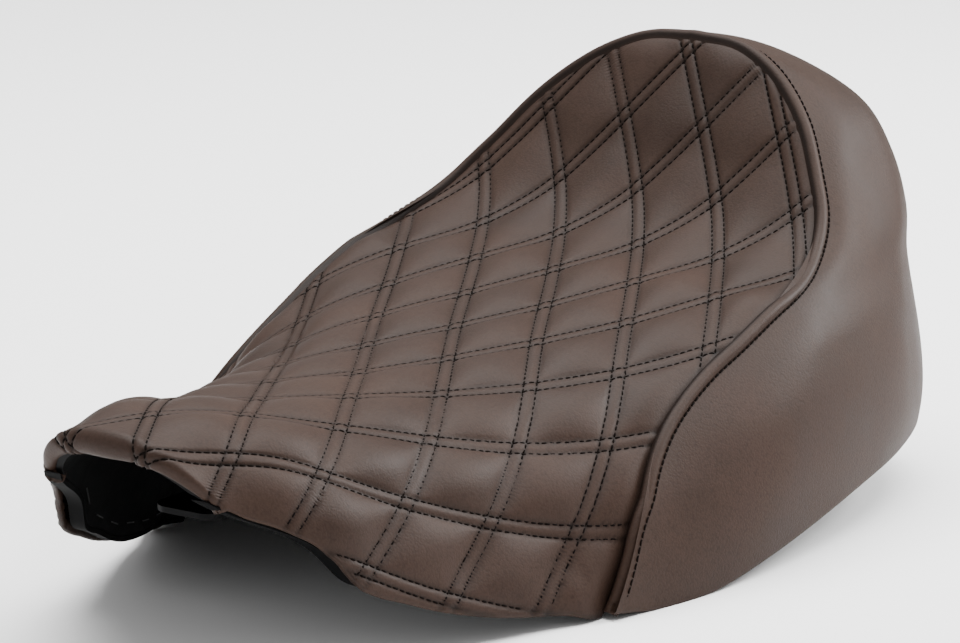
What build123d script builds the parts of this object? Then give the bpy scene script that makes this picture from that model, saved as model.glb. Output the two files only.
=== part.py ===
from build123d import *
import os
from math import cos, exp, hypot, radians, sin

# A solo motorcycle seat with a quilted leather cover and a raised back bolster.
# Millimetres. +Z is up, the nose points along -Y, and +X is the rider's left.
# The origin is under the middle of the seat, at the height of its lowest edge.

# ---------------------------------------------------------------- driving dimensions

NOSE_FRONT = -294.0            # front of the rolled nose edge
SEAT_BACK = 278.0              # rearmost point of the back bolster
TOO_FAR = 340.0                # beyond the seat in every direction
TOO_LOW = -60.0                # below the seat
FOOT = -120.0                  # foot of the lofts, below everything else

LEATHER = 2.0                  # cover leather with its lining
QUILT_DEPTH = 10.0             # soft foam sewn behind the quilted panel
WELT_SIZE = 5.0                # rolled seam between the quilted panel and the side covers
GEL_DEPTH = 12.0               # gel pad under the rider
PAN_DEPTH = 7.0                # from the cover's surface to the base pan at the lower edge
PAN_WALL = 3.5                 # moulded base pan
TRIM_HEIGHT = 3.0              # rubber edging along the lower edge
TRIM_STEP = 1.5                # how far the edging sits inside the cover's surface
GAP = 0.3                      # clearance between layers that aren't bonded face to face

# Height of the quilted surface on the centre line, as (y, z).
CENTRE_LINE = [(-330, 112), (-282, 119), (-258, 120), (-179, 110), (-95, 106), (-11, 113), (80, 126),
               (122, 135), (156, 153), (172, 170), (186, 189), (210, 223), (226, 246), (250, 256),
               (300, 258), (330, 258)]
# The quilted surface rolls over into the thigh flanks, sharply at the nose and hardly at the back.
FLANK_ANGLE = radians(80)      # steepest slope of the flanks
FLAT_ROLL = 0.0015             # roll rate where the seat is flat, per mm
ROLL_GAIN = 3.83e-5            # extra roll rate for each mm in front of ROLL_START
ROLL_START = 80.0
NOSE_ROLL = 0.0065             # extra roll rate at the nose
NOSE_ROLL_Y = -282.0
NOSE_ROLL_SPAN = 30.0
SECTION_STEPS = [0, 14, 28, 44, 62, 82, 105, 130, 158, 190, 230]   # distances from the centre line

# Plan outlines of the side and back covers, from the lower edge to the bolster's top:
# height, half width and y of the seam, largest half width and its y, and y of the back.
SIDE_LEVELS = [(-12, 139, -96, 155, 14, 262),
               (26, 140, -70, 161, 35, 274),
               (53, 138, -51, 164, 50, 277),
               (75, 134, -27, 165, 60, SEAT_BACK),
               (102, 131, 20, 157, 95, SEAT_BACK),
               (125, 130, 88, 142, 132, SEAT_BACK),
               (146, 118, 149, 127, 168, SEAT_BACK),
               (170, 101, 172, 110, 191, 277),
               (197, 81, 191, 89, 207, 272),
               (218, 54, 206, 61, 218, 259),
               (229, 28, 213, 34, 222, 245),
               (233, 8, 216, 12, 222, 238)]
CORNER_POWER = 3.0             # squareness of the back corners in plan
CORNER_STEPS = [0.3, 0.55, 0.75, 0.9, 0.98]
OUTLINE_SPACING = [0, 0.3, 0.44, 0.57, 0.68, 0.78, 0.88, 1]    # the outline's points along its spline

# Lower edge of the seat seen from the side, as (y, z), from the nose to the back.
LOWER_EDGE = [(-281, 89), (-256, 75), (-239, 66), (-226, 55), (-215, 41), (-200, 34), (-174, 22),
              (-128, 10), (-83, 4), (-50, 0), (-20, 1), (25, 9), (135, 29), (SEAT_BACK, 43)]
NOSE_EDGE_RADIUS = 9.0         # roll of the nose's front edge
FENDER_RADIUS = 125.0          # arch in the back edge that clears the rear fender
FENDER_ARCH_TOP = 60.0
FENDER_ARCH_FRONT = 150.0

# Height of the base pan's top along the seat, as (y, z). Two flats carry the brackets.
PAN_LINE = [(-TOO_FAR, 128), (-262, 114), (-225, 102), (-190, 88), (-175, 86), (-115, 86), (-95, 76),
            (-60, 72), (TOO_FAR, 72)]
FRONT_FLAT = 86.0
REAR_FLAT = 72.0

BOLSTER_FOOT = (118, 95)       # where the bolster foam meets the seat foam, as (y, z)
BOLSTER_LEAN = 35.0            # how far the joint leans back over its height
GEL_HALF_WIDTH = 88.0
GEL_FRONT = -75.0
GEL_BACK = 105.0
GEL_CORNER = 35.0

PLATE = 3.0                    # steel of the brackets and their backing plates
BRACKET_HALF_WIDTH = 19.0
RIVET_RADIUS = 2.4
RIVET_HEAD_RADIUS = 4.6
RIVET_HEAD = 2.2
RIVET_X = 10.0
TONGUE_RIVETS_Y = (-160.0, -132.0)
TONGUE_FRONT = -238.0
TONGUE_BACK = -122.0
TONGUE_STEP_Y = (-176.0, -190.0)   # where the tongue bends down and levels out again
TONGUE_DROP = 14.0
BRACKET_RIVETS_Y = (206.0, 232.0)
BRACKET_FRONT = 194.0
BRACKET_END = 294.0
BRACKET_STEP_Y = (244.0, 256.0)
BRACKET_DROP = 19.0
SCREW_Y = 294.0 - 13.0
SCREW_RADIUS = 3.97            # 5/16 inch thread
SCREW_NECK_RADIUS = 3.2        # plain neck in the tab and the retainer
SCREW_HOLE_RADIUS = 4.05
SCREW_LENGTH = 20.0            # below the bracket
SCREW_TIP_CHAMFER = 1.0
SCREW_SLOT = 2.0               # width and depth of the slot in the head
SCREW_HEAD_RADIUS = 9.0
SCREW_HEAD_HEIGHT = 8.0
KNURL_COUNT = 30
KNURL_RADIUS = 0.6
RETAINER_RADIUS = 8.0
RETAINER_HEIGHT = 2.0

BUMPER_PLACES = [(-75, -30), (75, -30), (-85, 130), (85, 130)]
BUMPER_RADIUS = 13.0
BUMPER_HEIGHT = 12.0
BUMPER_STEM_RADIUS = 4.0
PAD_SIZE = (30.0, 55.0, 10.0)
PAD_CENTRE = (46.0, 215.0)
DRAIN_PLACES = [(-38, 30), (38, 30)]
DRAIN_HOLE_RADIUS = 6.0
DRAIN_BORE_RADIUS = 3.5
DRAIN_FLANGE_RADIUS = 9.0
DRAIN_FLANGE = 1.6
STAPLE_WIDTH = 11.0
STAPLE_WIRE = 0.7
STAPLE_STAND = 0.7             # from the pan's inner wall to the middle of the wire
STAPLE_RISE = 9.0              # above the lower edge
STAPLE_SPACING = 24.0
STAPLE_FRONT = -225.0
STAPLE_BACK = 215.0

# ---------------------------------------------------------------- shared shape


def between(points, at):
    """Value at one place on straight lines through points."""
    for (low, low_value), (high, high_value) in zip(points, points[1:]):
        if at <= high:
            return low_value + (high_value - low_value) * (at - low) / (high - low)
    return points[-1][1]


def roll_rate(y):
    flat_to_flank = FLAT_ROLL + ROLL_GAIN * max(0.0, ROLL_START - y)
    return flat_to_flank + NOSE_ROLL * exp(-((y - NOSE_ROLL_Y) / NOSE_ROLL_SPAN) ** 2)


def slope_stretch(y):
    """How much longer a vertical depth is than the depth square to the surface."""
    reach = 8.0
    rise = between(CENTRE_LINE, y + reach) - between(CENTRE_LINE, y - reach)
    return hypot(1.0, rise / (2.0 * reach))


def quilt_section(y, depth, steps=SECTION_STEPS):
    """Half of the quilted surface's section, as (x, z), a depth below the surface."""
    rate = roll_rate(y)
    x = 0.0
    z = between(CENTRE_LINE, y)
    points = []
    for start, end in zip([0] + list(steps), steps):
        count = max(1, int(end - start) // 2)
        length = (end - start) / count
        for piece in range(count):
            middle = start + (piece + 0.5) * length
            slope = FLANK_ANGLE * (1.0 - exp(-((middle * rate) ** 2)))
            x += length * cos(slope)
            z -= length * sin(slope)
        slope = FLANK_ANGLE * (1.0 - exp(-((end * rate) ** 2)))
        points.append((x - depth * sin(slope), z - depth * slope_stretch(y) * cos(slope)))
    return points


def under_quilt(depth):
    """The left half of everything a depth or more below the quilted surface."""
    sections = []
    for y, _ in CENTRE_LINE:
        half = [(x, y, z) for x, z in quilt_section(y, depth)]
        frame = Polyline(half[-1], (TOO_FAR, y, FOOT), (0, y, FOOT), half[0])
        sections.append(Face(Wire([Spline(half), *frame.edges()])))
    return loft(sections)


def inside_sides(depth):
    """The left half of everything a depth or more inside the side and back covers."""
    outlines = []
    for z, seam_x, seam_y, wide_x, wide_y, back_y in SIDE_LEVELS:
        inset = min(depth, seam_x / 2)
        half = [(seam_x - inset, seam_y, z), (wide_x - inset, wide_y, z)]
        for share in CORNER_STEPS:
            across = (1.0 - share ** CORNER_POWER) ** (1.0 / CORNER_POWER)
            half.append(((wide_x - inset) * across, wide_y + (back_y - inset - wide_y) * share, z))
        half.append((0, back_y - inset, z))
        around = Edge.make_spline([Vector(*point) for point in half], parameters=OUTLINE_SPACING,
                                  tangents=[Vector(0, 1, 0), Vector(-1, 0, 0)])
        frame = Polyline(half[-1], (0, -TOO_FAR, z), (seam_x - inset, -TOO_FAR, z), half[0])
        outlines.append(Face(Wire([around, *frame.edges()])))
    return loft(outlines)


def side_view(raise_by, front_inset):
    """The seat's side view as a slab: lower edge, rolled nose edge, and clear above."""
    radius = NOSE_EDGE_RADIUS
    front = NOSE_FRONT + front_inset
    roll_top = between(CENTRE_LINE, front + radius) - front_inset
    edge = [(0, y, z + raise_by) for y, z in LOWER_EDGE]
    edge[0] = (0, LOWER_EDGE[0][0] + front_inset, edge[0][2])
    lower = Spline(edge)
    back = Polyline(edge[-1], (0, TOO_FAR, edge[-1][2]), (0, TOO_FAR, TOO_FAR),
                    (0, front + radius, TOO_FAR), (0, front + radius, roll_top))
    shoulder = radius * (1 - sin(radians(45)))
    roll = ThreePointArc((0, front + radius, roll_top), (0, front + shoulder, roll_top - shoulder),
                         (0, front, roll_top - radius))
    nose = Line((0, front, roll_top - radius), edge[0])
    face = Face(Wire([lower, *back.edges(), roll, nose]))
    slab = extrude(face, amount=TOO_FAR, dir=(1, 0, 0), both=True)
    arch = Cylinder(FENDER_RADIUS + raise_by, TOO_FAR - FENDER_ARCH_FRONT, rotation=(90, 0, 0))
    middle_y = (TOO_FAR + FENDER_ARCH_FRONT) / 2
    return slab - Pos(0, middle_y, FENDER_ARCH_TOP - FENDER_RADIUS) * arch


def below_pan_line(lower_by):
    """Everything below the base pan's top, as a slab."""
    top = [(0, y, z - lower_by) for y, z in PAN_LINE]
    outline = Polyline(top + [(0, TOO_FAR, TOO_LOW), (0, -TOO_FAR, TOO_LOW)], close=True)
    return extrude(Face(Wire(outline.edges())), amount=TOO_FAR, dir=(1, 0, 0), both=True)


def shared(*solids):
    """What all the solids have in common."""
    result = solids[0]
    for solid in solids[1:]:
        result = result & solid
    return result


def both_sides(half):
    """A whole piece from its left half."""
    return half + mirror(half, Plane.YZ)


def save(node, shape):
    """Write one node, in millimetres."""
    export_step(Compound(children=list(shape.solids())), f"parts/{node}.step")


def block(x, y, z):
    """A block between three pairs of limits."""
    low, high = zip(x, y, z)
    size = [b - a for a, b in zip(low, high)]
    centre = [(a + b) / 2 for a, b in zip(low, high)]
    return Pos(*centre) * Box(*size)


def upright(radius, x, y, low, high):
    """An upright cylinder between two heights."""
    return Pos(x, y, (low + high) / 2) * Cylinder(radius, high - low)


# ---------------------------------------------------------------- covers and foam

os.makedirs("parts", exist_ok=True)

SOFT_FOOT = TRIM_HEIGHT + GAP                # the covers and foam end above the rubber edging
QUILT_FOOT = LEATHER + QUILT_DEPTH
soft_view = side_view(SOFT_FOOT, 0.0)
stuffing_view = side_view(SOFT_FOOT, LEATHER)
under = {depth: under_quilt(depth) for depth in (0.0, LEATHER, WELT_SIZE, QUILT_FOOT, QUILT_FOOT + GEL_DEPTH)}
inside = {depth: inside_sides(depth) for depth in (0.0, LEATHER, WELT_SIZE)}
pan_space = shared(under_quilt(PAN_DEPTH), inside_sides(PAN_DEPTH), below_pan_line(0.0))
seat_body = shared(under[0.0], inside[0.0])
covered = shared(seat_body, soft_view) - pan_space
stuffing = shared(seat_body, stuffing_view) - pan_space


def quilted_cover():
    """Leather over the seat and the front of the bolster, turned over the nose's edge."""
    top = (covered - under[LEATHER]) & inside[WELT_SIZE]
    lip = (covered & under[LEATHER]) & block((0, TOO_FAR), (NOSE_FRONT - 1, NOSE_FRONT + LEATHER), (0, TOO_FAR))
    return both_sides(top + lip)


def side_cover():
    """Smooth leather from the seam down round the left side to the middle of the back."""
    return (covered - inside[LEATHER]) & under[WELT_SIZE]


def seam_welt():
    """The rolled seam allowance that runs along the edge of the quilted panel."""
    return both_sides((covered - under[WELT_SIZE]) - inside[WELT_SIZE])


def quilt_foam():
    """Soft foam sewn to the back of the quilted leather."""
    layer = (stuffing - under[QUILT_FOOT]) & under[LEATHER]
    return both_sides(layer & inside[WELT_SIZE])


def bolster_space():
    """Everything behind the joint between the seat foam and the bolster foam."""
    y, z = BOLSTER_FOOT
    low = (0, y - BOLSTER_LEAN, TOO_LOW)
    high = (0, y + BOLSTER_LEAN, TOO_FAR)
    outline = Polyline(low, high, (0, TOO_FAR, TOO_FAR), (0, TOO_FAR, TOO_LOW), close=True)
    return extrude(Face(Wire(outline.edges())), amount=TOO_FAR, dir=(1, 0, 0))


def gel_space():
    """Plan outline of the gel pad, full height."""
    middle = (GEL_FRONT + GEL_BACK) / 2
    outline = Pos(0, middle) * RectangleRounded(2 * GEL_HALF_WIDTH, GEL_BACK - GEL_FRONT, GEL_CORNER)
    return extrude(outline, amount=TOO_FAR) & block((0, TOO_FAR), (-TOO_FAR, TOO_FAR), (0, TOO_FAR))


foam_half = (stuffing & under[QUILT_FOOT]) & inside[LEATHER]
gel_half = (foam_half & gel_space()) - under[QUILT_FOOT + GEL_DEPTH]

# ---------------------------------------------------------------- base pan and its hardware


def rivet(x, y, low, high):
    """A closed rivet with a domed head at each end."""
    shank = upright(RIVET_RADIUS, x, y, low, high)
    lower = fillet(upright(RIVET_HEAD_RADIUS, x, y, low - RIVET_HEAD, low).edges().group_by(Axis.Z)[0], 1.4)
    upper = fillet(upright(RIVET_HEAD_RADIUS, x, y, high, high + RIVET_HEAD).edges().group_by(Axis.Z)[-1], 1.4)
    return shank + lower + upper


def rivet_places(rows):
    return [(side * RIVET_X, y) for y in rows for side in (-1, 1)]


def with_rivet_holes(solid, rows, radius=RIVET_RADIUS):
    for x, y in rivet_places(rows):
        solid = solid - upright(radius, x, y, TOO_LOW, TOO_FAR)
    return solid


def strap(profile_y, level, drop):
    """A flat steel strap along Y with one joggle down, as (start, bend, level again, end)."""
    start, bend, landed, end = profile_y
    top = [(start, level), (bend, level), (landed, level - drop), (end, level - drop)]
    bottom = [(y, z - PLATE) for y, z in reversed(top)]
    outline = Polyline([(0, y, z) for y, z in top + bottom], close=True)
    return extrude(Face(Wire(outline.edges())), amount=BRACKET_HALF_WIDTH, dir=(1, 0, 0), both=True)


FRONT_UNDERSIDE = FRONT_FLAT - PAN_WALL
REAR_UNDERSIDE = REAR_FLAT - PAN_WALL
TAB_TOP = REAR_UNDERSIDE - BRACKET_DROP
TAB_BOTTOM = TAB_TOP - PLATE
RETAINER_FOOT = TAB_BOTTOM - GAP - RETAINER_HEIGHT


def base_pan():
    """Moulded pan: a thin dish with deep sides, open underneath and through the nose."""
    hollow = shared(under_quilt(PAN_DEPTH + PAN_WALL), inside_sides(PAN_DEPTH + PAN_WALL),
                    below_pan_line(PAN_WALL))
    pan = both_sides((pan_space - hollow) & stuffing_view)
    pan = with_rivet_holes(pan, TONGUE_RIVETS_Y + BRACKET_RIVETS_Y)
    for x, y in BUMPER_PLACES:
        pan = pan - upright(BUMPER_STEM_RADIUS, x, y, TOO_LOW, TOO_FAR)
    for x, y in DRAIN_PLACES:
        pan = pan - upright(DRAIN_HOLE_RADIUS, x, y, TOO_LOW, TOO_FAR)
    return pan


def edge_trim():
    """Rubber edging under the lower edges of the cover, foam and pan."""
    outer = shared(under_quilt(TRIM_STEP), inside_sides(TRIM_STEP), side_view(0.0, LEATHER))
    inner = shared(under_quilt(PAN_DEPTH + PAN_WALL), inside_sides(PAN_DEPTH + PAN_WALL))
    ring = (outer - inner) - side_view(TRIM_HEIGHT, -LEATHER)
    return both_sides(ring)


def front_tongue():
    """Steel tongue under the nose that hooks under a cross bar on the frame."""
    tongue = strap((TONGUE_BACK, *TONGUE_STEP_Y, TONGUE_FRONT), FRONT_UNDERSIDE, TONGUE_DROP)
    corners = tongue.edges().filter_by(Axis.Z).group_by(Axis.Y)[0]
    tongue = fillet(corners, BRACKET_HALF_WIDTH / 2)
    return with_rivet_holes(tongue, TONGUE_RIVETS_Y)


def rear_bracket():
    """Steel tab that carries the mounting screw behind the seat."""
    tab = strap((BRACKET_FRONT, *BRACKET_STEP_Y, BRACKET_END), REAR_UNDERSIDE, BRACKET_DROP)
    corners = tab.edges().filter_by(Axis.Z).group_by(Axis.Y)[-1]
    tab = fillet(corners, BRACKET_HALF_WIDTH / 2)
    tab = with_rivet_holes(tab, BRACKET_RIVETS_Y)
    return tab - upright(SCREW_HOLE_RADIUS, 0, SCREW_Y, TOO_LOW, TOO_FAR)


def backing_plate(rows, level):
    """Steel plate on top of the pan that spreads a bracket's load."""
    margin = BRACKET_HALF_WIDTH - RIVET_X
    middle = sum(rows) / len(rows)
    length = rows[-1] - rows[0] + 2 * margin
    plate = extrude(Pos(0, middle, level) * RectangleRounded(2 * BRACKET_HALF_WIDTH, length, margin / 2), PLATE)
    return with_rivet_holes(plate, rows)


def rivets(rows, low, high):
    return Compound(children=[rivet(x, y, low, high) for x, y in rivet_places(rows)])


def mount_screw():
    """Captive screw with a round knurled head, for fingers or a coin."""
    head = upright(SCREW_HEAD_RADIUS, 0, SCREW_Y, TAB_TOP + GAP, TAB_TOP + GAP + SCREW_HEAD_HEIGHT)
    head = chamfer(head.edges().group_by(Axis.Z)[-1], KNURL_RADIUS)
    for place in PolarLocations(SCREW_HEAD_RADIUS, KNURL_COUNT):
        groove = Cylinder(KNURL_RADIUS, 2 * SCREW_HEAD_HEIGHT)
        head = head - Pos(0, SCREW_Y, TAB_TOP + SCREW_HEAD_HEIGHT) * place * groove
    slot = block((-TOO_FAR, TOO_FAR), (SCREW_Y - SCREW_SLOT / 2, SCREW_Y + SCREW_SLOT / 2),
                 (TAB_TOP + SCREW_HEAD_HEIGHT - SCREW_SLOT, TOO_FAR))
    neck = upright(SCREW_NECK_RADIUS, 0, SCREW_Y, RETAINER_FOOT, TAB_TOP + GAP)
    thread = upright(SCREW_RADIUS, 0, SCREW_Y, TAB_BOTTOM - SCREW_LENGTH, RETAINER_FOOT)
    thread = chamfer(thread.edges().group_by(Axis.Z)[0], SCREW_TIP_CHAMFER)
    return (head - slot) + neck + thread


def screw_retainer():
    """Nylon washer on the screw's neck, so that it can't fall out of the tab."""
    ring = upright(RETAINER_RADIUS, 0, SCREW_Y, RETAINER_FOOT, RETAINER_FOOT + RETAINER_HEIGHT)
    return ring - upright(SCREW_NECK_RADIUS, 0, SCREW_Y, TOO_LOW, TOO_FAR)


def frame_bumper(x, y):
    """Rubber bumper with a stem pressed through the pan and a button above it."""
    underside = between(PAN_LINE, y) - PAN_WALL
    top = underside + PAN_WALL
    puck = upright(BUMPER_RADIUS, x, y, underside - BUMPER_HEIGHT, underside - RIVET_HEAD)
    puck = fillet(puck.edges().group_by(Axis.Z)[0], 2.0)
    neck = upright(BUMPER_RADIUS - 1.0, x, y, underside - RIVET_HEAD, underside - GAP)
    stem = upright(BUMPER_STEM_RADIUS, x, y, underside - GAP, top)
    button = upright(BUMPER_STEM_RADIUS + 1.5, x, y, top + GAP, top + 3.0)
    core = upright(BUMPER_STEM_RADIUS, x, y, top, top + GAP)
    return puck + neck + stem + core + button


def fender_pad(side):
    """Foam rubber block that rests on the fender beside the bracket."""
    x, y = PAD_CENTRE
    width, length, height = PAD_SIZE
    outline = RectangleRounded(width, length, width / 5)
    pad = extrude(Pos(side * x, y, REAR_UNDERSIDE - height) * outline, height)
    return pad


def drain_grommet(x, y):
    """Rubber grommet in a drain hole through the pan."""
    underside = between(PAN_LINE, y) - PAN_WALL
    body = upright(DRAIN_HOLE_RADIUS, x, y, underside, underside + PAN_WALL)
    flange = upright(DRAIN_FLANGE_RADIUS, x, y, underside - DRAIN_FLANGE, underside)
    return body + flange - upright(DRAIN_BORE_RADIUS, x, y, TOO_LOW, TOO_FAR)


def foam_pockets():
    """Room in the foam's underside for what stands proud of the pan."""
    clear = 2 * GAP
    pockets = []
    for rows, level in ((TONGUE_RIVETS_Y, FRONT_FLAT), (BRACKET_RIVETS_Y, REAR_FLAT)):
        end = BRACKET_HALF_WIDTH - RIVET_X + clear
        pockets.append(block((-BRACKET_HALF_WIDTH - clear, BRACKET_HALF_WIDTH + clear),
                             (rows[0] - end, rows[-1] + end),
                             (level - clear, level + PLATE + RIVET_HEAD + clear)))
    for x, y in BUMPER_PLACES:
        pockets.append(upright(BUMPER_STEM_RADIUS + 1.5 + clear, x, y, REAR_FLAT - clear, REAR_FLAT + 3 + clear))
    return pockets


def staple(pan, y, side):
    """One staple crown lying along the pan's inner wall, just above the lower edge."""
    ends = []
    for place in (y - STAPLE_WIDTH / 2, y + STAPLE_WIDTH / 2):
        height = between(LOWER_EDGE, place) + STAPLE_RISE
        hits = pan.find_intersection_points(Axis((0, place, height), (1, 0, 0)))
        wall = min(abs(point.X) for point, _ in hits)
        ends.append(Vector(side * (wall - STAPLE_STAND), place, height))
    start, end = ends
    crown = Plane(origin=start, z_dir=end - start)
    return extrude(crown * Circle(STAPLE_WIRE / 2), (end - start).length)


def staples(pan):
    count = int((STAPLE_BACK - STAPLE_FRONT) / STAPLE_SPACING) + 1
    places = [STAPLE_FRONT + item * STAPLE_SPACING for item in range(count)]
    return [staple(pan, y, side) for y in places for side in (-1, 1)]


def save_group(node, solids):
    save(node, Compound(children=list(solids)))


save("quilted_cover", quilted_cover())
left_cover = side_cover()
save("left_side_cover", left_cover)
save("right_side_cover", mirror(left_cover, Plane.YZ))
save("seam_welt", seam_welt())
save("quilt_foam", quilt_foam())
save("gel_pad", both_sides(gel_half))
save("bolster_foam", both_sides((foam_half & bolster_space()) - foam_pockets()))
save("seat_foam", both_sides((foam_half - bolster_space()) - gel_half - foam_pockets()))
pan = base_pan()
save("base_pan", pan)
save("edge_trim", edge_trim())
save("front_tongue", front_tongue())
save("tongue_backing_plate", backing_plate(TONGUE_RIVETS_Y, FRONT_FLAT))
save("tongue_rivets", rivets(TONGUE_RIVETS_Y, FRONT_UNDERSIDE - PLATE, FRONT_FLAT + PLATE))
save("rear_bracket", rear_bracket())
save("bracket_backing_plate", backing_plate(BRACKET_RIVETS_Y, REAR_FLAT))
save("bracket_rivets", rivets(BRACKET_RIVETS_Y, REAR_UNDERSIDE - PLATE, REAR_FLAT + PLATE))
save("mount_screw", mount_screw())
save("screw_retainer", screw_retainer())
save_group("frame_bumpers", [frame_bumper(x, y) for x, y in BUMPER_PLACES])
save_group("fender_pads", [fender_pad(side) for side in (-1, 1)])
save_group("drain_grommets", [drain_grommet(x, y) for x, y in DRAIN_PLACES])
save_group("cover_staples", staples(pan))
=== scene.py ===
from math import pi, radians

import bmesh
import bpy
import numpy as np
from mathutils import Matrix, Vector
from mathutils.bvhtree import BVHTree


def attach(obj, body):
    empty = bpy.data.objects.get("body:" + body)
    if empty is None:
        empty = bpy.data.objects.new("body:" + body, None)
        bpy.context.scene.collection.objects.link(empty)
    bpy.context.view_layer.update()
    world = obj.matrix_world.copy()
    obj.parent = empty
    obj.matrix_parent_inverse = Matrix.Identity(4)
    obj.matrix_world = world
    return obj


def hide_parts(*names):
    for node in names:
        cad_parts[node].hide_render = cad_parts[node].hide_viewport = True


# The soft cover of a solo motorcycle seat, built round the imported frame.
# Shapes are worked out in millimetres in the frame's own axes and placed in metres.
# "across" is measured over the surface from the centre line, "along" from the nose to the bolster's top.

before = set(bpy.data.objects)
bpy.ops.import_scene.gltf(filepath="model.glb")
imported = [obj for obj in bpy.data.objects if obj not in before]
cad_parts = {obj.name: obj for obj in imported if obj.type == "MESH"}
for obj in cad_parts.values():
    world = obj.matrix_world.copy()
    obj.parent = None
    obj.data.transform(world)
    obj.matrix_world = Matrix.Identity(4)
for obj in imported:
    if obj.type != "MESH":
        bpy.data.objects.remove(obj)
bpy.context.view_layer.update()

# ---------------------------------------------------------------- driving dimensions

MM = 0.001
FINE_STEPS = 8                 # per point of a smooth path, while it is being spaced evenly

# Centre line of the quilted surface, as (y, z), starting just in front of the nose's roll.
CENTRE_LINE = [(-300, 118.6), (-282, 119), (-258, 120), (-179, 110), (-95, 106), (-11, 113), (80, 126),
               (122, 135), (156, 153), (172, 170), (186, 189), (210, 223), (236, 258)]
CENTRE_START_Y = -282.0        # where "along" is zero

# How the surface rolls over to the sides: its slope grows with across times a rate per millimetre.
FLANK_ANGLE = radians(80)      # the steepest slope
FLAT_ROLL = 0.0015             # rate on the wide part of the seat
ROLL_GAIN = 3.83e-5            # added to the rate for each millimetre in front of ROLL_START
ROLL_START = 80.0
NOSE_ROLL = 0.0065             # added to the rate at the nose
NOSE_ROLL_SPAN = 30.0
ROLL_LIMIT = 9.0               # across times rate, where the tables of the roll end
ROLL_COUNT = 4001
FLANK_SWEEP = 14.0             # how far the flanks lean back at the front
FLANK_SWEEP_ACROSS = 175.0     # across, where they lean back that far
FLANK_SWEEP_START = 40.0       # y, in front of which they lean back
FLANK_SWEEP_LENGTH = 170.0
SURFACE_STEP = 0.5             # for measuring directions on the surface

# Edge of the quilted panel, as (across, along): the free edge beside the nose, then the seam.
FREE_EDGE = [(61, -9), (63, -4), (67, 4), (77, 14), (87, 25), (95, 33), (103, 41), (109, 45.5), (117, 50.5),
             (124, 54), (131, 58.5), (137, 67), (143, 80), (153, 100), (163, 122), (171, 142), (179, 162),
             (190, 185)]
SEAM = [(184, 192), (174, 203), (162, 216), (156, 226), (148, 237), (138, 259), (134, 278), (132, 303),
        (133, 330), (133, 347), (132, 375), (128, 402), (120, 430), (110, 456), (102, 470), (82, 502),
        (50, 531), (30, 541), (0, 544)]
SEAM_START = 185.0             # along, where the free edge ends and the seam begins
SEAM_FADE_BEFORE = 15.0        # the edge changes over from before the seam's start to after it
SEAM_FADE_AFTER = 5.0
EDGE_PATH_COUNT = 900

# Rows of diamonds: (along, row number). Columns are spaced evenly across.
DIAMOND_ROWS = [(-61, 2), (23, 4), (188, 8), (272, 10), (363, 12), (450, 14), (534, 16), (618, 18)]
DIAMOND_WIDTH = 50.0
LINE_SPACING = 43.1            # between neighbouring quilting lines, square to them
DOUBLE_ROW = 3.25              # from a quilting line to each of its two stitch rows
PUFF = 3.7                     # height of the padding in the middle of a diamond
BOLSTER_PUFF = 2.3
PUFF_CHANGE = (360.0, 440.0)   # along, where the puffs get flatter
PUFF_POWER = 2.2               # how steeply a puff rises beside its stitches
NOSE_PUFF_SHARE = 0.25         # of the padding's height, at the nose's edge
EDGE_PUFF_REACH = 9.0          # the padding thins out this near the panel's edges
STITCH_GROOVE = 0.7            # depth of the groove along each stitch row
STITCH_GROOVE_WIDTH = 0.9
STRIP_CROWN = 0.3              # height of the strip between two stitch rows
SEAM_DIP = 1.8                 # how far the panel dips into the seam
SEAM_DIP_WIDTH = 3.2

STITCH_LENGTH = 3.3
STITCH_PITCH = 4.1
THREAD_RADIUS = 0.5
THREAD_SIDES = 6
STITCH_STATIONS = np.array([0.0, 0.14, 0.5, 0.86, 1.0])      # shares of a stitch's length
STITCH_LIFT = np.array([-0.75, 0.25, 0.6, 0.25, -0.75])      # its height there, in thread radii
STITCH_SPARE = 2.2             # the rows stop this far from the panel's edges
STITCH_START = 14.0            # how far round the nose's edge the rows begin
STITCH_PATH_STEP = 0.75
SHORTEST_PATH = 8              # steps; shorter scraps of a row are left out
QUILT_LINES = range(-4, 16)    # numbers of the quilting lines in each of the two families

NOSE_EDGE_ALONG = -7.5         # where the roll over the nose's front edge begins
NOSE_EDGE_RADIUS = 6.2
NOSE_SWEEP = 13.0              # how far the nose's edge sweeps back at its sides
NOSE_HALF_ACROSS = 61.0
NOSE_SWEEP_LIMIT = 1.1         # of the nose's half width, beyond which the sweep stays the same
NOSE_CORNER_SHARE = 0.35       # of the half width, from where the edge's roll gets tighter
NOSE_SWEEP_END = 60.0          # along, where the rows of the panel run straight across again
NOSE_FLAP = 12.0               # turned in under the nose
NOSE_FLAT_END = 55.0           # along, behind the thinly padded nose
EDGE_RADIUS = 1.8              # turned edges of the covers
EDGE_FLAP = 4.0                # turned in behind them

# Grid of the quilted panel.
NOSE_ROWS = 22
ROW_STEP = 1.75
TOP_ROWS = 44                  # closer together, over the last TOP_LENGTH of the bolster
TOP_LENGTH = 50.0
HALF_COLUMNS = 104
TURN_COLUMNS = 6
PANEL_WELD = 0.12

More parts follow.
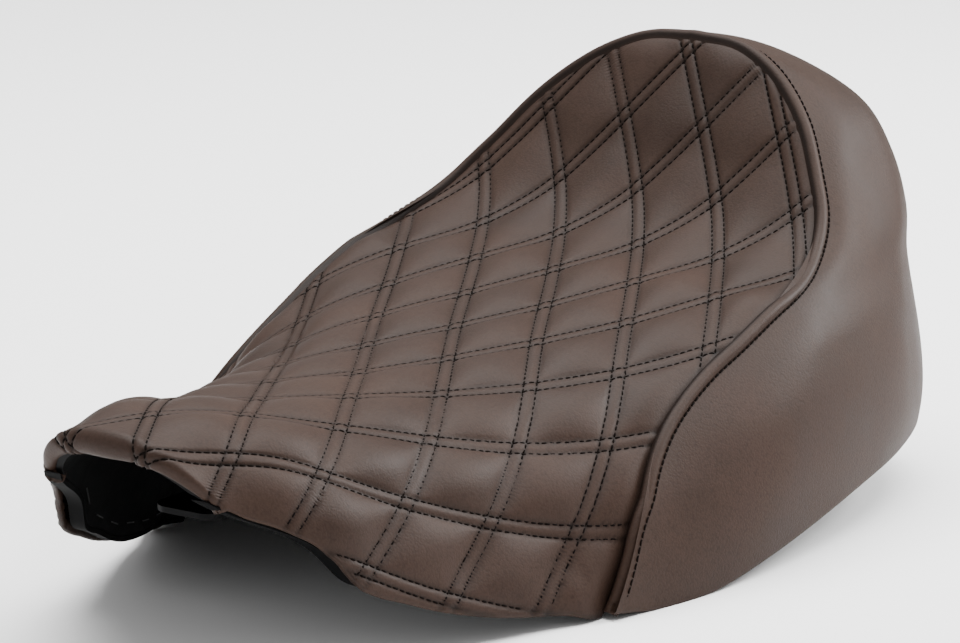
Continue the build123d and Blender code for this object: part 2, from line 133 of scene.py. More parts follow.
# Rings of the side covers from below the lower edge to the top:
# seam height, largest half width and its y, then y and z at the middle of the back.
SIDE_RINGS = [(-12, 155, 14, 262, -12),
              (26, 161, 35, 274, 26),
              (53, 164, 50, 277, 53),
              (75, 163, 62, 278, 75),
              (102, 156, 95, 278, 102),
              (125, 142, 134, 278, 125),
              (146, 129, 172, 278, 148),
              (170, 112, 198, 278, 172),
              (197, 91, 219, 273, 196),
              (218, 61, 223, 259, 214),
              (227, 32, 223, 244, 226),
              (230.6, 9, 220, 228, 230.6)]
SEAM_BELOW = (139, -96, -12)   # the seam's line carried on below the lower edge
CORNER_POWER = 3.0             # of the superellipse from the widest place to the middle of the back
TOP_CORNER_POWER = 4.0         # the corners get squarer towards the top
TOP_CORNER_Z = (110.0, 180.0)
CORNER_STEPS = [0.3, 0.55, 0.75, 0.9, 0.98]
RING_SPACING = [0, 0.3, 0.44, 0.57, 0.68, 0.78, 0.88, 1]     # of a ring's points, from seam to back

# Lower edge of the side covers, as (y, z).
LOWER_EDGE = [(-120, 9), (-83, 4), (-50, 0), (-20, 1), (25, 9), (135, 29), (278, 43)]
LEATHER_RISE = 0.6             # the covers end this far above the lower edge
EDGE_SWELL = 5.6               # how far the quilted panel stands out along its free edges
EDGE_SWELL_REACH = 16.0
NOSE_SWELL_SHARE = 0.3         # of the swell, at the nose
FULL_SWELL_BEFORE_SEAM = 60.0  # it is full from here on
SIDE_SWELL = 7.6               # the same for the side covers' lower edges
SIDE_SWELL_SHARE = 0.3         # of the side cover's height, where that has faded out
FENDER_RADIUS = 125.0          # arch in the back's lower edge
FENDER_ARCH_TOP = 60.0
FENDER_ARCH_FRONT = 150.0

# Grid of a side cover.
SIDE_ROWS = 150
SIDE_LEVELS = 700
SIDE_COLUMNS = 150
BACK_COLUMNS = 13              # close together over the last BACK_SHARE, beside the seam
BACK_SHARE = 0.015
BACK_CROWDING = 1.5
UNDER_ROWS = 7
SIDE_WELD = 0.1

# Section of the rolled seam allowance, as (away from the panel, outwards).
WELT_SHAPE = [(-1.6, -4.5), (-0.9, -1.6), (-0.2, 0.4), (0.9, 1.5), (2.3, 2.1), (3.7, 2.0), (4.9, 1.4),
              (5.7, 0.6), (6.3, -0.2), (6.9, -1.6)]
WELT_COUNT = 620
WELT_SHAPE_COUNT = 16
WELT_SMOOTHING = 9
WELT_WELD = 0.02
WELT_PROBE = 9.0               # how far from the seam the side cover's direction is measured
WELT_STITCH_OUT = 6.6          # from the seam to the row of stitches beside it
WELT_STITCH_COUNT = 900
WELT_STITCH_ENDS = 3           # points left out at each end of that row
WELT_STITCH_LIFT = 0.15
WELT_STITCH_SMOOTHING = 2
SEAM_POINT_STEP = 12           # points of the seam's line skipped, which smooths it
SEAT_MIDDLE = np.array([0.0, 30.0, 0.0])
SEAT_INSIDE = (0, 60, -60)     # a point that every outward direction leads away from
WELT_SPREAD = (1, 0.35, 0)     # scale of the direction away from the middle, then its weight
WELT_SPREAD_WEIGHT = 0.75
WELT_LEAN = np.array([0, 0.25, -0.45])   # added to it, so that it leads over the side cover

BACK_SEAM_DEPTH = 1.2          # seam down the middle of the back
BACK_SEAM_HALF = 1.3
BACK_SEAM_Y = 240.0            # the back's seam shows behind this
BACK_STITCH_OUT = 5.0
BACK_STITCH_DENT = 0.25
BACK_STITCH_SHARES = (0.02, 0.93)        # of the cover's height, where the rows end
BACK_STITCH_COUNT = 240
BACK_STITCH_COLUMNS = np.linspace(0.9, 1, 60)

LEATHER_COLOUR = (0.0295, 0.0168, 0.0120)
# colour of the painted shade in creases; the leather's dark specks and grain valleys use it too
DARK_TONE_AND_SHADE_COLOUR = (0.006, 0.0034, 0.0024)
STITCH_CREASE_SHADE = 0.6            # how dark the painted shade in the stitch rows' grooves is
STITCH_SHADE_WIDTH = 1.1
# painted shade in the seam's dip, along the back's seam, and the most that any point gets
SEAM_CREASE_SHADE = 0.75
SEAM_SHADE_WIDTH = 2.4
BACK_CREASE_SHADE = 0.8
DARKEST_CREASE_SHADE = 0.9
WELT_CREASE_SHADES = [(-0.6, 0.9, 0.9), (6.4, 0.6, 0.5)]   # place on the section, half width, darkness of the painted shade there

# Studio: name, place, target, size and power of each light.
LIGHTS = [("overhead", (-0.1, 0.4, 2.3), (0, 0, 0.1), (2.8, 2.4), 185),
          ("rear_right", (1.35, 2.0, 1.5), (0.1, 0.2, 0.15), (0.8, 1.2), 120),
          ("front_fill", (-1.2, -2.2, 1.2), (0, 0, 0.1), (1.4, 1.4), 12)]
WORLD_STRENGTH = 0.62
FLOOR_SIZE = 24
FLOOR_COLOUR = (0.96, 0.96, 0.96)
FLOOR_ROUGHNESS = 0.8
FLOOR_SPECULAR = 0.1

CAMERA_PLACE = (1.28135, -1.84291, 0.65512)
CAMERA_AZIMUTH = 34.65
CAMERA_ELEVATION = 13.58
CAMERA_LENS = 168.75
CAMERA_SENSOR = 36
CAMERA_REACH = 100

# ---------------------------------------------------------------- curves and the quilted surface


def smooth(places, values, at):
    """A smooth curve through values at rising places, read at any array of places."""
    places = np.asarray(places, float)
    values = np.asarray(values, float)
    at = np.clip(np.asarray(at, float), places[0], places[-1])
    slopes = np.gradient(values, places, axis=0)
    index = np.clip(np.searchsorted(places, at) - 1, 0, len(places) - 2)
    width = places[index + 1] - places[index]
    t = (at - places[index]) / width
    if values.ndim > 1:
        extra = (1,) * (values.ndim - 1)
        t = t.reshape(t.shape + extra)
        width = width.reshape(width.shape + extra)
    start = (1 + 2 * t) * (1 - t) ** 2 * values[index] + t * (1 - t) ** 2 * width * slopes[index]
    end = t * t * (3 - 2 * t) * values[index + 1] + t * t * (t - 1) * width * slopes[index + 1]
    return start + end


def lengths_along(points):
    """Length of the line through the points, up to each of them."""
    steps = np.linalg.norm(np.diff(points, axis=0), axis=1)
    return np.concatenate([[0.0], np.cumsum(steps)])


def smooth_path(points, count):
    """Evenly spaced points on a smooth curve through the given ones."""
    points = np.asarray(points, float)
    places = lengths_along(points)
    fine = smooth(places, points, np.linspace(0, places[-1], count * FINE_STEPS))
    along = lengths_along(fine)
    even = np.linspace(0, along[-1], count)
    return np.stack([np.interp(even, along, fine[:, axis]) for axis in range(points.shape[1])], -1)


def unit(vectors):
    return vectors / np.maximum(np.linalg.norm(vectors, axis=-1, keepdims=True), 1e-9)


def ease(low, high, at):
    """A smooth step from 0 at low to 1 at high."""
    t = np.clip((at - low) / (high - low), 0, 1)
    return t * t * (3 - 2 * t)


LINE = np.array(CENTRE_LINE, float)
LINE_ALONG = lengths_along(LINE)
LINE_ALONG = LINE_ALONG - np.interp(CENTRE_START_Y, LINE[:, 0], LINE_ALONG)
ROLL_STEPS = np.linspace(0, ROLL_LIMIT, ROLL_COUNT)
ROLL_SLOPES = FLANK_ANGLE * (1 - np.exp(-ROLL_STEPS ** 2))
ROLL_STEP = ROLL_STEPS[1]
ROLL_MIDDLES = (ROLL_SLOPES[1:] + ROLL_SLOPES[:-1]) / 2
ROLL_OUT = np.concatenate([[0], np.cumsum(np.cos(ROLL_MIDDLES)) * ROLL_STEP])
ROLL_DOWN = np.concatenate([[0], np.cumsum(np.sin(ROLL_MIDDLES)) * ROLL_STEP])


def bare_surface(across, along):
    """Points of the quilted surface without its padding."""
    centre = smooth(LINE_ALONG, LINE, along)
    y = centre[..., 0]
    rate = FLAT_ROLL + ROLL_GAIN * np.maximum(0, ROLL_START - y)
    rate = rate + NOSE_ROLL * np.exp(-((y - CENTRE_START_Y) / NOSE_ROLL_SPAN) ** 2)
    turned = np.abs(across) * rate
    x = np.sign(across) * np.interp(turned, ROLL_STEPS, ROLL_OUT) / rate
    z = centre[..., 1] - np.interp(turned, ROLL_STEPS, ROLL_DOWN) / rate
    forward_share = np.clip((FLANK_SWEEP_START - y) / FLANK_SWEEP_LENGTH, 0, 1)
    sweep = FLANK_SWEEP * (np.abs(across) / FLANK_SWEEP_ACROSS) ** 3 * forward_share
    return np.stack([x, y + sweep, z], -1)


def surface_frame(across, along):
    """Outward direction and the direction across, on the quilted surface."""
    over = bare_surface(across + SURFACE_STEP, along) - bare_surface(across - SURFACE_STEP, along)
    back = bare_surface(across, along + SURFACE_STEP) - bare_surface(across, along - SURFACE_STEP)
    return unit(np.cross(over, back)), unit(over)


def nose_sweep(across):
    """How far the nose's edge lies behind its middle."""
    return NOSE_SWEEP * np.minimum(np.abs(across) / NOSE_HALF_ACROSS, NOSE_SWEEP_LIMIT) ** 3


def leather_point(across, along, lift=0.0, beyond=0.0):
    """Points of the quilted leather, rolled over the nose's edge and turned under beyond the side edges."""
    nose_edge = NOSE_EDGE_ALONG + nose_sweep(across)
    flat_along = np.maximum(along, nose_edge)
    point = bare_surface(across, flat_along)
    outward, over = surface_frame(across, flat_along)
    forward = np.cross(over, outward)
    tighter = ease(NOSE_CORNER_SHARE, 1, np.abs(across) / NOSE_HALF_ACROSS)
    radius = NOSE_EDGE_RADIUS + (EDGE_RADIUS - NOSE_EDGE_RADIUS) * tighter
    past = np.maximum(nose_edge - along, 0) * radius / NOSE_EDGE_RADIUS
    angle = np.minimum(past / radius, pi)[..., None]
    flap = np.maximum(past - pi * radius, 0)[..., None]
    roll = forward * np.sin(angle) - outward * (1 - np.cos(angle))
    point = point + radius[..., None] * roll - forward * flap
    lifted = outward * np.cos(angle) + forward * np.sin(angle)
    beyond = np.broadcast_to(beyond, across.shape)
    side = np.sign(across)[..., None]
    turn = np.minimum(beyond / EDGE_RADIUS, pi)[..., None]
    tuck = np.maximum(beyond - pi * EDGE_RADIUS, 0)[..., None]
    edge = over * side * (np.sin(turn) * EDGE_RADIUS - tuck) - outward * (1 - np.cos(turn)) * EDGE_RADIUS
    lift = np.broadcast_to(lift, across.shape)[..., None]
    return point + edge + lifted * lift


EDGE_POINTS = np.array(FREE_EDGE + SEAM, float)
EDGE_PATH = smooth_path(EDGE_POINTS, EDGE_PATH_COUNT)
EDGE_PATH[:, 0] = np.maximum(EDGE_PATH[:, 0], 0)
BOLSTER_TOP = EDGE_POINTS[-1, 1]


def edge_across(along):
    """Half the panel's width, measured over the surface."""
    return np.interp(along, EDGE_PATH[:, 1], EDGE_PATH[:, 0])


def edge_distance(across, along):
    """Distance to the panel's nearest side edge, row by row."""
    result = np.empty(across.shape)
    for row in range(len(across)):
        sideways = np.abs(across[row])[:, None] - EDGE_PATH[:, 0]
        lengthways = along[row][:, None] - EDGE_PATH[:, 1]
        result[row] = np.hypot(sideways, lengthways).min(1)
    return result


def seam_share(along):
    """0 beside the free edge and 1 beside the seam."""
    return ease(SEAM_START - SEAM_FADE_BEFORE, SEAM_START + SEAM_FADE_AFTER, along)


def row_number(along):
    """Row of diamonds, counted in half diamonds, that crosses the centre line here."""
    places, rows = zip(*DIAMOND_ROWS)
    return smooth(places, rows, along)


def line_distances(across, along):
    """Distance to the nearest quilting line of each of the two families."""
    row = row_number(along)
    column = 2 * across / DIAMOND_WIDTH
    found = []
    for number in ((row + column) / 2, (row - column) / 2):
        found.append(np.abs(number - np.round(number)) * LINE_SPACING)
    return found


def puff_share(distance):
    """Share of a puff's full height at a distance from a quilting line."""
    inside = np.clip((distance - DOUBLE_ROW) / (LINE_SPACING / 2 - DOUBLE_ROW), 0, 1)
    return 1 - (1 - inside) ** PUFF_POWER


def padding(across, along, edge_gap):
    """Height of the padded leather over the bare surface."""
    first, second = line_distances(across, along)
    height = PUFF + (BOLSTER_PUFF - PUFF) * ease(*PUFF_CHANGE, along)
    height = height * (1 - np.exp(-(edge_gap / EDGE_PUFF_REACH) ** 2))
    behind_nose = ease(NOSE_EDGE_ALONG, NOSE_FLAT_END, along - nose_sweep(across))
    height = height * (NOSE_PUFF_SHARE + (1 - NOSE_PUFF_SHARE) * behind_nose)
    total = height * puff_share(first) * puff_share(second)
    for distance in (first, second):
        total = total - STITCH_GROOVE * np.exp(-((distance - DOUBLE_ROW) / STITCH_GROOVE_WIDTH) ** 2)
        total = total + STRIP_CROWN * np.clip(1 - (distance / DOUBLE_ROW) ** 2, 0, 1)
    swell_share = ease(NOSE_FLAT_END, SEAM_START - FULL_SWELL_BEFORE_SEAM, along)
    swell = EDGE_SWELL * (NOSE_SWELL_SHARE + (1 - NOSE_SWELL_SHARE) * swell_share)
    total = total + (1 - seam_share(along)) * swell * np.exp(-(edge_gap / EDGE_SWELL_REACH) ** 2)
    return total - seam_share(along) * SEAM_DIP * np.exp(-(edge_gap / SEAM_DIP_WIDTH) ** 2)


# ---------------------------------------------------------------- meshes


def add_mesh(name, points, faces):
    """A piece from points in millimetres and a list or array of faces."""
    mesh = bpy.data.meshes.new(name)
    mesh.from_pydata((np.asarray(points) * MM).tolist(), [], [tuple(face) for face in faces])
    mesh.validate()
    mesh.shade_smooth()
    piece = bpy.data.objects.new(name, mesh)
    bpy.context.scene.collection.objects.link(piece)
    return piece


def grid_faces(rows, columns, wrap=False):
    """Quads of a grid of points stored row by row."""
    last = columns if wrap else columns - 1
    row, column = np.meshgrid(np.arange(rows - 1), np.arange(last), indexing="ij")
    after = (column + 1) % columns
    corners = [row * columns + column, row * columns + after, (row + 1) * columns + after,
               (row + 1) * columns + column]
    return np.stack([corner.ravel() for corner in corners], -1)


def weld(piece, distance):
    """Merge points that meet, so that pointed ends of a grid leave no thin faces."""
    work = bmesh.new()
    work.from_mesh(piece.data)
    bmesh.ops.remove_doubles(work, verts=work.verts, dist=distance * MM)
    bmesh.ops.dissolve_degenerate(work, edges=work.edges, dist=distance * MM / 4)
    bmesh.ops.recalc_face_normals(work, faces=work.faces)
    work.to_mesh(piece.data)
    work.free()


def stitch_tubes(name, paths, material):
    """Short sunken loops of thread along each path; a path is a pair of points and outward directions."""
    lift = STITCH_LIFT * THREAD_RADIUS
    turn = np.arange(THREAD_SIDES) * 2 * pi / THREAD_SIDES
    points = []
    for path, outward in paths:
        along = lengths_along(path)
        count = int((along[-1] - STITCH_LENGTH) / STITCH_PITCH)
        if count < 1:
            continue
        starts = (np.arange(count) + 0.5) * STITCH_PITCH
        places = starts[:, None] + STITCH_STATIONS * STITCH_LENGTH
        centre = np.stack([np.interp(places, along, path[:, axis]) for axis in range(3)], -1)
        up = unit(np.stack([np.interp(places, along, outward[:, axis]) for axis in range(3)], -1))
        centre = centre + up * lift[:, None]
        run = unit(centre[:, -1:] - centre[:, :1])
        side = unit(np.cross(run, up))
        ring = side[:, :, None] * np.cos(turn)[:, None] + up[:, :, None] * np.sin(turn)[:, None]
        points.append((centre[:, :, None] + ring * THREAD_RADIUS).reshape(-1, 3))
    points = np.concatenate(points)
    per_stitch = len(STITCH_STATIONS) * THREAD_SIDES
    one = grid_faces(len(STITCH_STATIONS), THREAD_SIDES, wrap=True)
    starts = np.arange(len(points) // per_stitch)[:, None, None] * per_stitch
    faces = (one[None] + starts).reshape(-1, 4).tolist()
    for start in starts.ravel().tolist():
        faces.append(tuple(range(start + THREAD_SIDES - 1, start - 1, -1)))
        faces.append(tuple(range(start + per_stitch - THREAD_SIDES, start + per_stitch)))
    piece = add_mesh(name, points, faces)
    piece.data.materials.append(material)
    return piece


# ---------------------------------------------------------------- materials


def new_material(name, colour, roughness, metallic=0.0):
    """A plain surface with its constant values on the shader's own sockets."""
    material = bpy.data.materials.new(name)
    material.use_nodes = True
    shader = material.node_tree.nodes["Principled BSDF"]
    shader.inputs["Base Color"].default_value = (*colour, 1)
    shader.inputs["Roughness"].default_value = roughness
    shader.inputs["Metallic"].default_value = metallic
    return material, material.node_tree, shader


def texture(tree, kind, scale, **settings):
    """A texture in the piece's own frame, where scale is in cells per metre."""
    node = tree.nodes.new(kind)
    node.inputs["Scale"].default_value = scale
    for key, value in settings.items():
        node.inputs[key].default_value = value
    place = tree.nodes.new("ShaderNodeTexCoord")
    tree.links.new(place.outputs["Object"], node.inputs["Vector"])
    return node


def map_range(tree, source, low, high, to_low, to_high):
    """The source's range from low to high, stretched over another range."""
    node = tree.nodes.new("ShaderNodeMapRange")
    for socket, value in zip(("From Min", "From Max", "To Min", "To Max"), (low, high, to_low, to_high)):
        node.inputs[socket].default_value = value
    tree.links.new(source, node.inputs["Value"])
    return node.outputs["Result"]


def mix_colour(tree, share, first, second):
    """Mix of two colours, where each colour and the share is a socket or a value."""
    node = tree.nodes.new("ShaderNodeMix")
    node.data_type = "RGBA"
    for socket, value in (("Factor", share), ("A", first), ("B", second)):
        named = [one for one in node.inputs if one.name == socket]
        target = next(one for one in named if socket == "Factor" or one.type == "RGBA")
        if hasattr(value, "links"):
            tree.links.new(value, target)
        elif socket == "Factor":
            target.default_value = value
        else:
            target.default_value = (*value, 1)
    return next(one for one in node.outputs if one.type == "RGBA")


def bump(tree, shader, height, strength, distance, under=None):
    """Relief on the shader's normal, over the relief given as under."""
    node = tree.nodes.new("ShaderNodeBump")
    node.inputs["Strength"].default_value = strength
    node.inputs["Distance"].default_value = distance
    tree.links.new(height, node.inputs["Height"])
    if under is not None:
        tree.links.new(under, node.inputs["Normal"])
    tree.links.new(node.outputs["Normal"], shader.inputs["Normal"])
    return node.outputs["Normal"]


def leather(name, colour, dark_tone_and_shade_colour):
    """Fine pebbled leather, with a little painted shade in its creases and uneven in tone."""
    material, tree, shader = new_material(name, colour, 0.46)
    shader.inputs["Specular IOR Level"].default_value = 0.10
    patches = texture(tree, "ShaderNodeTexNoise", 14, Detail=4.0, Roughness=0.6)
    flecks = texture(tree, "ShaderNodeTexNoise", 420, Detail=2.0)
    pebbles = texture(tree, "ShaderNodeTexVoronoi", 900)
    pebbles.feature = "SMOOTH_F1"
    pores = texture(tree, "ShaderNodeTexNoise", 2600, Detail=2.0)
    lighter = tuple(min(1, channel * 1.16) for channel in colour)
    darker = tuple(channel * 0.84 for channel in colour)
    tone = mix_colour(tree, map_range(tree, patches.outputs["Fac"], 0.35, 0.65, 0, 1), darker, lighter)
    speck = map_range(tree, flecks.outputs["Fac"], 0.45, 0.75, 0, 0.16)
    tone = mix_colour(tree, speck, tone, dark_tone_and_shade_colour)
    valley = map_range(tree, pebbles.outputs["Distance"], 0.35, 0.75, 0, 0.22)
    tone = mix_colour(tree, valley, tone, dark_tone_and_shade_colour)
    # Painted shade in the grooves and seams, from the attribute stored on each piece
    crease_shade = tree.nodes.new("ShaderNodeAttribute")
    crease_shade.attribute_name = "crease_shade"
    tone = mix_colour(tree, crease_shade.outputs["Fac"], tone, dark_tone_and_shade_colour)
    tree.links.new(tone, shader.inputs["Base Color"])
    rough = map_range(tree, patches.outputs["Fac"], 0.3, 0.7, 0.46, 0.58)
    tree.links.new(rough, shader.inputs["Roughness"])
    grain = bump(tree, shader, pores.outputs["Fac"], 0.25, 0.00025)
    inverted = map_range(tree, pebbles.outputs["Distance"], 0, 1, 1, 0)
    bump(tree, shader, inverted, 0.3, 0.0003, under=grain)
    return material


def thread_material():
    """Dark, dull sewing thread."""
    material, tree, shader = new_material("thread", (0.003, 0.002, 0.0015), 0.85)
    shader.inputs["Specular IOR Level"].default_value = 0.04
    fibres = texture(tree, "ShaderNodeTexNoise", 3000, Detail=2.0)
    tone = mix_colour(tree, fibres.outputs["Fac"], (0.002, 0.0012, 0.001), (0.006, 0.004, 0.003))
    tree.links.new(tone, shader.inputs["Base Color"])
    bump(tree, shader, fibres.outputs["Fac"], 0.4, 0.0002)
    return material


def moulded(name, colour, roughness, grain_scale, depth):
    """Moulded plastic, rubber, foam rubber or black paint, with a fine texture and dull scuffs."""
    material, tree, shader = new_material(name, colour, roughness)
    shader.inputs["Specular IOR Level"].default_value = 0.05
    grain = texture(tree, "ShaderNodeTexNoise", grain_scale, Detail=3.0)
    scuffs = texture(tree, "ShaderNodeTexNoise", 30, Detail=5.0, Roughness=0.7)
    worn = tuple(min(1, channel * 1.6 + 0.001) for channel in colour)
    tone = mix_colour(tree, map_range(tree, scuffs.outputs["Fac"], 0.5, 0.8, 0, 0.5), colour, worn)
    tree.links.new(tone, shader.inputs["Base Color"])
    rough = map_range(tree, scuffs.outputs["Fac"], 0.3, 0.7, roughness - 0.07, roughness + 0.08)
    tree.links.new(rough, shader.inputs["Roughness"])
    bump(tree, shader, grain.outputs["Fac"], 0.35, depth)
    return material


def metal(name, colour, roughness):
    """Bare or plated metal with faint brushing and dull spots."""
    material, tree, shader = new_material(name, colour, roughness, metallic=1.0)
    brushing = texture(tree, "ShaderNodeTexNoise", 160, Detail=6.0, Roughness=0.7)
    spots = texture(tree, "ShaderNodeTexNoise", 45, Detail=3.0)
    dull = tuple(channel * 0.72 for channel in colour)
    tone = mix_colour(tree, map_range(tree, spots.outputs["Fac"], 0.4, 0.7, 0, 1), colour, dull)
    tree.links.new(tone, shader.inputs["Base Color"])
    rough = map_range(tree, brushing.outputs["Fac"], 0.3, 0.7, roughness - 0.08, roughness + 0.12)
    tree.links.new(rough, shader.inputs["Roughness"])
    bump(tree, shader, brushing.outputs["Fac"], 0.15, 0.00012)
    return material


COVER_LEATHER = leather("cover_leather", LEATHER_COLOUR, DARK_TONE_AND_SHADE_COLOUR)
THREAD = thread_material()


def set_crease_shade(piece, shares):
    """Store how much painted shade each point gets in a crease, for the leather's colour."""
    attribute = piece.data.attributes.new("crease_shade", "FLOAT", "POINT")
    attribute.data.foreach_set("value", np.asarray(shares, np.float32).ravel())


# ---------------------------------------------------------------- quilted panel


def panel_rows():
    """Places along the panel: fine steps, then closer together towards the bolster's pointed top."""
    nose = NOSE_EDGE_ALONG - np.linspace(pi * NOSE_EDGE_RADIUS + NOSE_FLAP, 0, NOSE_ROWS, endpoint=False)
    body = np.arange(NOSE_EDGE_ALONG, BOLSTER_TOP - TOP_LENGTH, ROW_STEP)
    top = BOLSTER_TOP - (BOLSTER_TOP - body[-1]) * np.linspace(1, 0, TOP_ROWS)[1:] ** 2
    return np.concatenate([nose, body, top])


def panel_columns():
    """Shares of the way from edge to edge, and how far past the edge each goes."""
    half = np.linspace(0, 1, HALF_COLUMNS)[1:]
    turn = np.linspace(0, pi, TURN_COLUMNS)[1:]
    turned = np.concatenate([turn * EDGE_RADIUS, [pi * EDGE_RADIUS + EDGE_FLAP]])
    share = np.concatenate([half, np.ones(len(turned))])
    beyond = np.concatenate([np.zeros(len(half)), turned])
    return np.concatenate([-share[::-1], [0], share]), np.concatenate([beyond[::-1], [0], beyond])


def panel_crease_shade(across, along, gap):
    """How much painted shade each point of the panel gets in a stitch row's groove or in the seam."""
    total = 0
    for distance in line_distances(across, along):
        total = total + np.exp(-((distance - DOUBLE_ROW) / STITCH_SHADE_WIDTH) ** 2) * STITCH_CREASE_SHADE
    total = total + seam_share(along) * SEAM_CREASE_SHADE * np.exp(-(gap / SEAM_SHADE_WIDTH) ** 2)
    return np.clip(total, 0, DARKEST_CREASE_SHADE)


def quilted_panel():
    """The quilted leather from the nose to the bolster's top, with its edges turned under."""
    rows = panel_rows()
    shares, beyond = panel_columns()
    swept = NOSE_SWEEP * (1 - ease(NOSE_EDGE_ALONG, NOSE_SWEEP_END, rows))
    edge = edge_across(np.maximum(rows, NOSE_EDGE_ALONG) + swept)
    across = shares[None] * edge[:, None]
    along = rows[:, None] + swept[:, None] * nose_sweep(across) / NOSE_SWEEP
    gap = edge_distance(across, along)
    height = padding(across, along, gap)
    points = leather_point(across, along, height, np.broadcast_to(beyond, across.shape))
    piece = add_mesh("quilted_panel", points.reshape(-1, 3), grid_faces(*across.shape))
    # painted shade in the stitch rows' grooves and in the seam
    set_crease_shade(piece, panel_crease_shade(across, along, gap))
    piece.data.materials.append(COVER_LEATHER)
    weld(piece, PANEL_WELD)
    return piece


def quilt_stitches():
    """Double rows of stitches along every quilting line of both families."""
    along = np.arange(NOSE_EDGE_ALONG - STITCH_START, BOLSTER_TOP, STITCH_PATH_STEP)
    row = row_number(along)
    edge = edge_across(along)
    half_step = DIAMOND_WIDTH / 2
    paths = []
    for family in (-1, 1):
        for number in QUILT_LINES:
            for offset in (-DOUBLE_ROW, DOUBLE_ROW):
                across = family * half_step * (2 * (number + offset / LINE_SPACING) - row)
                inside = np.abs(across) < edge - STITCH_SPARE
                breaks = np.flatnonzero(np.diff(inside.astype(int)))
                for run in np.split(np.arange(len(along)), breaks + 1):
                    if len(run) >= SHORTEST_PATH and inside[run[0]]:
                        paths.append(stitch_path(across[run], along[run]))
    return stitch_tubes("quilt_stitches", paths, THREAD)


def stitch_path(across, along):
    """A path laid on the padded leather, with its outward directions."""
    gap = edge_distance(across[None], along[None])[0]
    height = padding(across, along, gap)
    low = leather_point(across, along, height)
    high = leather_point(across, along, height + 1)
    return low, unit(high - low)


# ---------------------------------------------------------------- side covers

SEAM_PATH = EDGE_PATH[EDGE_PATH[:, 1] >= SEAM_START - 1]
SEAM_LINE = leather_point(np.maximum(SEAM_PATH[:, 0], 1e-4), SEAM_PATH[:, 1])
SEAM_HEIGHTS = np.concatenate([[SEAM_BELOW[2]], SEAM_LINE[:, 2]])
SEAM_PLACES = np.concatenate([[SEAM_BELOW[:2]], SEAM_LINE[:, :2]])


def side_ring(seam_z, wide_x, wide_y, back_y, back_z):
    """One ring of the left side cover, from the seam round the corner to the middle of the back."""
    seam = [np.interp(seam_z, SEAM_HEIGHTS, SEAM_PLACES[:, axis]) for axis in (0, 1)]
    ring = [(*seam, seam_z)]
    power = CORNER_POWER + (TOP_CORNER_POWER - CORNER_POWER) * ease(*TOP_CORNER_Z, seam_z)
    for share in [0.0] + CORNER_STEPS + [1.0]:
        x = wide_x * (1 - share ** power) ** (1 / power)
        ring.append((x, wide_y + (back_y - wide_y) * share, seam_z + (back_z - seam_z) * share))
    mirrored = (-ring[-2][0], *ring[-2][1:])
    return np.array(ring + [mirrored])


def side_surface(rows, columns):
    """The left side cover as a grid of points, from its lower edge to the seam's top."""
    places = RING_SPACING + [2 - RING_SPACING[-2]]
    rings = np.array([smooth(places, side_ring(*ring), columns) for ring in SIDE_RINGS])
    top = np.broadcast_to(SEAM_LINE[-1], rings[:1].shape)
    rings = np.concatenate([rings, top])
    steps = np.linalg.norm(np.diff(rings, axis=0), axis=2).mean(1)
    levels = np.concatenate([[0], np.cumsum(steps)])
    fine_levels = np.linspace(0, levels[-1], SIDE_LEVELS)
    lower_half = SIDE_LEVELS // 2
    fine = smooth(levels, rings, fine_levels)
    result = np.empty((len(rows), len(columns), 3))
    for column in range(len(columns)):
        line = fine[:, column]
        above = line[:, 2] - lower_height(line[:, 0], line[:, 1])
        start = np.interp(0, above[:lower_half], fine_levels[:lower_half])
        at = start + (fine_levels[-1] - start) * rows
        for axis in range(3):
            result[:, column, axis] = np.interp(at, fine_levels, line[:, axis])
    return result


def lower_height(x, y):
    """Height of the side cover's lower edge."""
    places, heights = zip(*LOWER_EDGE)
    edge = smooth(places, heights, y)
    arch = FENDER_ARCH_TOP - FENDER_RADIUS + np.sqrt(np.maximum(FENDER_RADIUS ** 2 - x ** 2, 0))
    return np.where(y > FENDER_ARCH_FRONT, np.maximum(edge, arch), edge) + LEATHER_RISE


def grid_normals(points):
    """Outward directions of a side grid, whose rows rise and whose columns run round to the back."""
    up = np.gradient(points, axis=0)
    round_to_back = np.gradient(points, axis=1)
    return unit(np.cross(round_to_back, up))


def turned_under(points, outward):
    """Extra rows that roll the lower edge in under the seat."""
    down = unit(points[0] - points[3])
    rows = []
    for angle in np.linspace(0, pi, UNDER_ROWS)[1:]:
        rows.append(points[0] + EDGE_RADIUS * (down * np.sin(angle) - outward[0] * (1 - np.cos(angle))))
    rows.append(rows[-1] - down * EDGE_FLAP)
    return np.array(rows[::-1])


def side_columns():
    """Places round a ring, closer together at the middle of the back, where the seam is."""
    evenly = np.linspace(0, 1 - BACK_SHARE, SIDE_COLUMNS)
    crowded = 1 - BACK_SHARE * np.linspace(1, 0, BACK_COLUMNS)[1:] ** BACK_CROWDING
    return np.concatenate([evenly, crowded])


